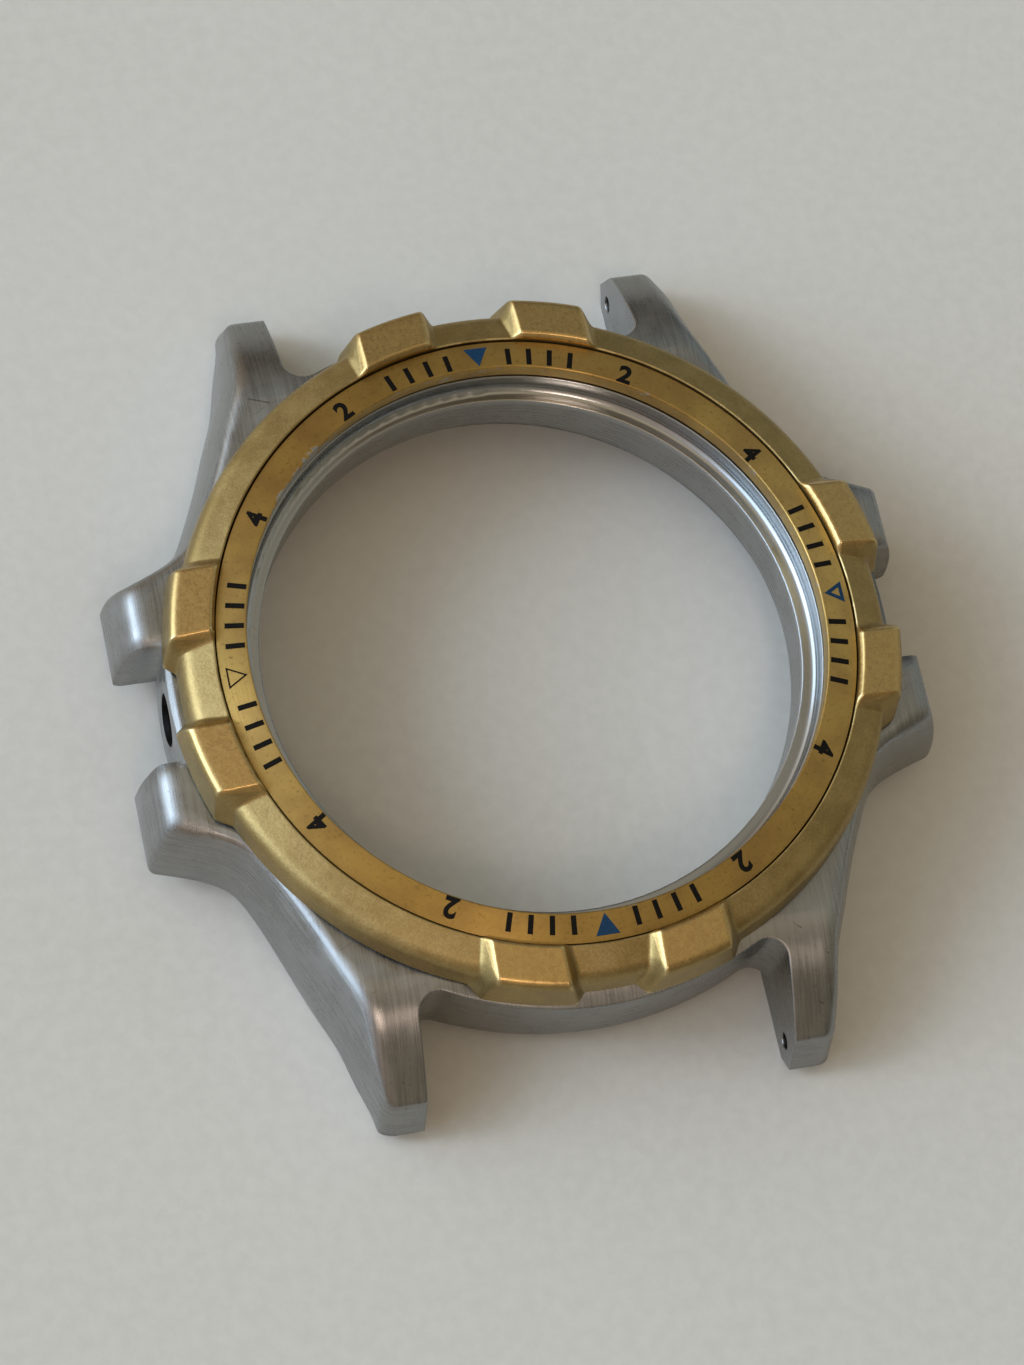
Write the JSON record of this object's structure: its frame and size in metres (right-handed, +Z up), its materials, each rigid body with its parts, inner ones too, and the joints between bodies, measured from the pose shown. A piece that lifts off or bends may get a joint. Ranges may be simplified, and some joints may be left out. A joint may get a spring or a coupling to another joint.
{
  "type": "empty watch case",
  "caption": "Empty round wristwatch case with drooping lugs, crown guards and a turning bezel with raised grip tabs and a printed ring.",
  "frame": {"origin": "on the case axis, at the plane that the undersides of the four lugs rest on", "axes": "+Z up through the opening towards the crystal side, +Y to twelve o'clock, +X to three o'clock (the crown side)"},
  "size_m": [0.0436, 0.047, 0.0095],
  "materials": {
    "case_steel": "brushed",
    "tube_steel": "turned",
    "bezel_gold_plate": "satin gold plate",
    "insert_gold_anodised": "gold anodised, printed",
    "adhesive_film": "matt",
    "spring_steel": "bright",
    "gasket_rubber": "matt"
  },
  "bodies": {
    "case": {"case_middle": "case_steel", "crown_tube": "tube_steel", "retaining_wire": "spring_steel", "bezel_gasket": "gasket_rubber", "click_spring": "spring_steel", "click_spring_pins": "tube_steel"},
    "bezel": {"bezel_ring": "bezel_gold_plate", "bezel_insert": "insert_gold_anodised", "insert_adhesive": "adhesive_film"}
  },
  "joints": [
    {"name": "bezel_turn", "type": "hinge", "parent": "case", "child": "bezel", "pos_m": [0, 0, 0.0079], "axis": [0, 0, 1], "continuous": true}
  ]
}
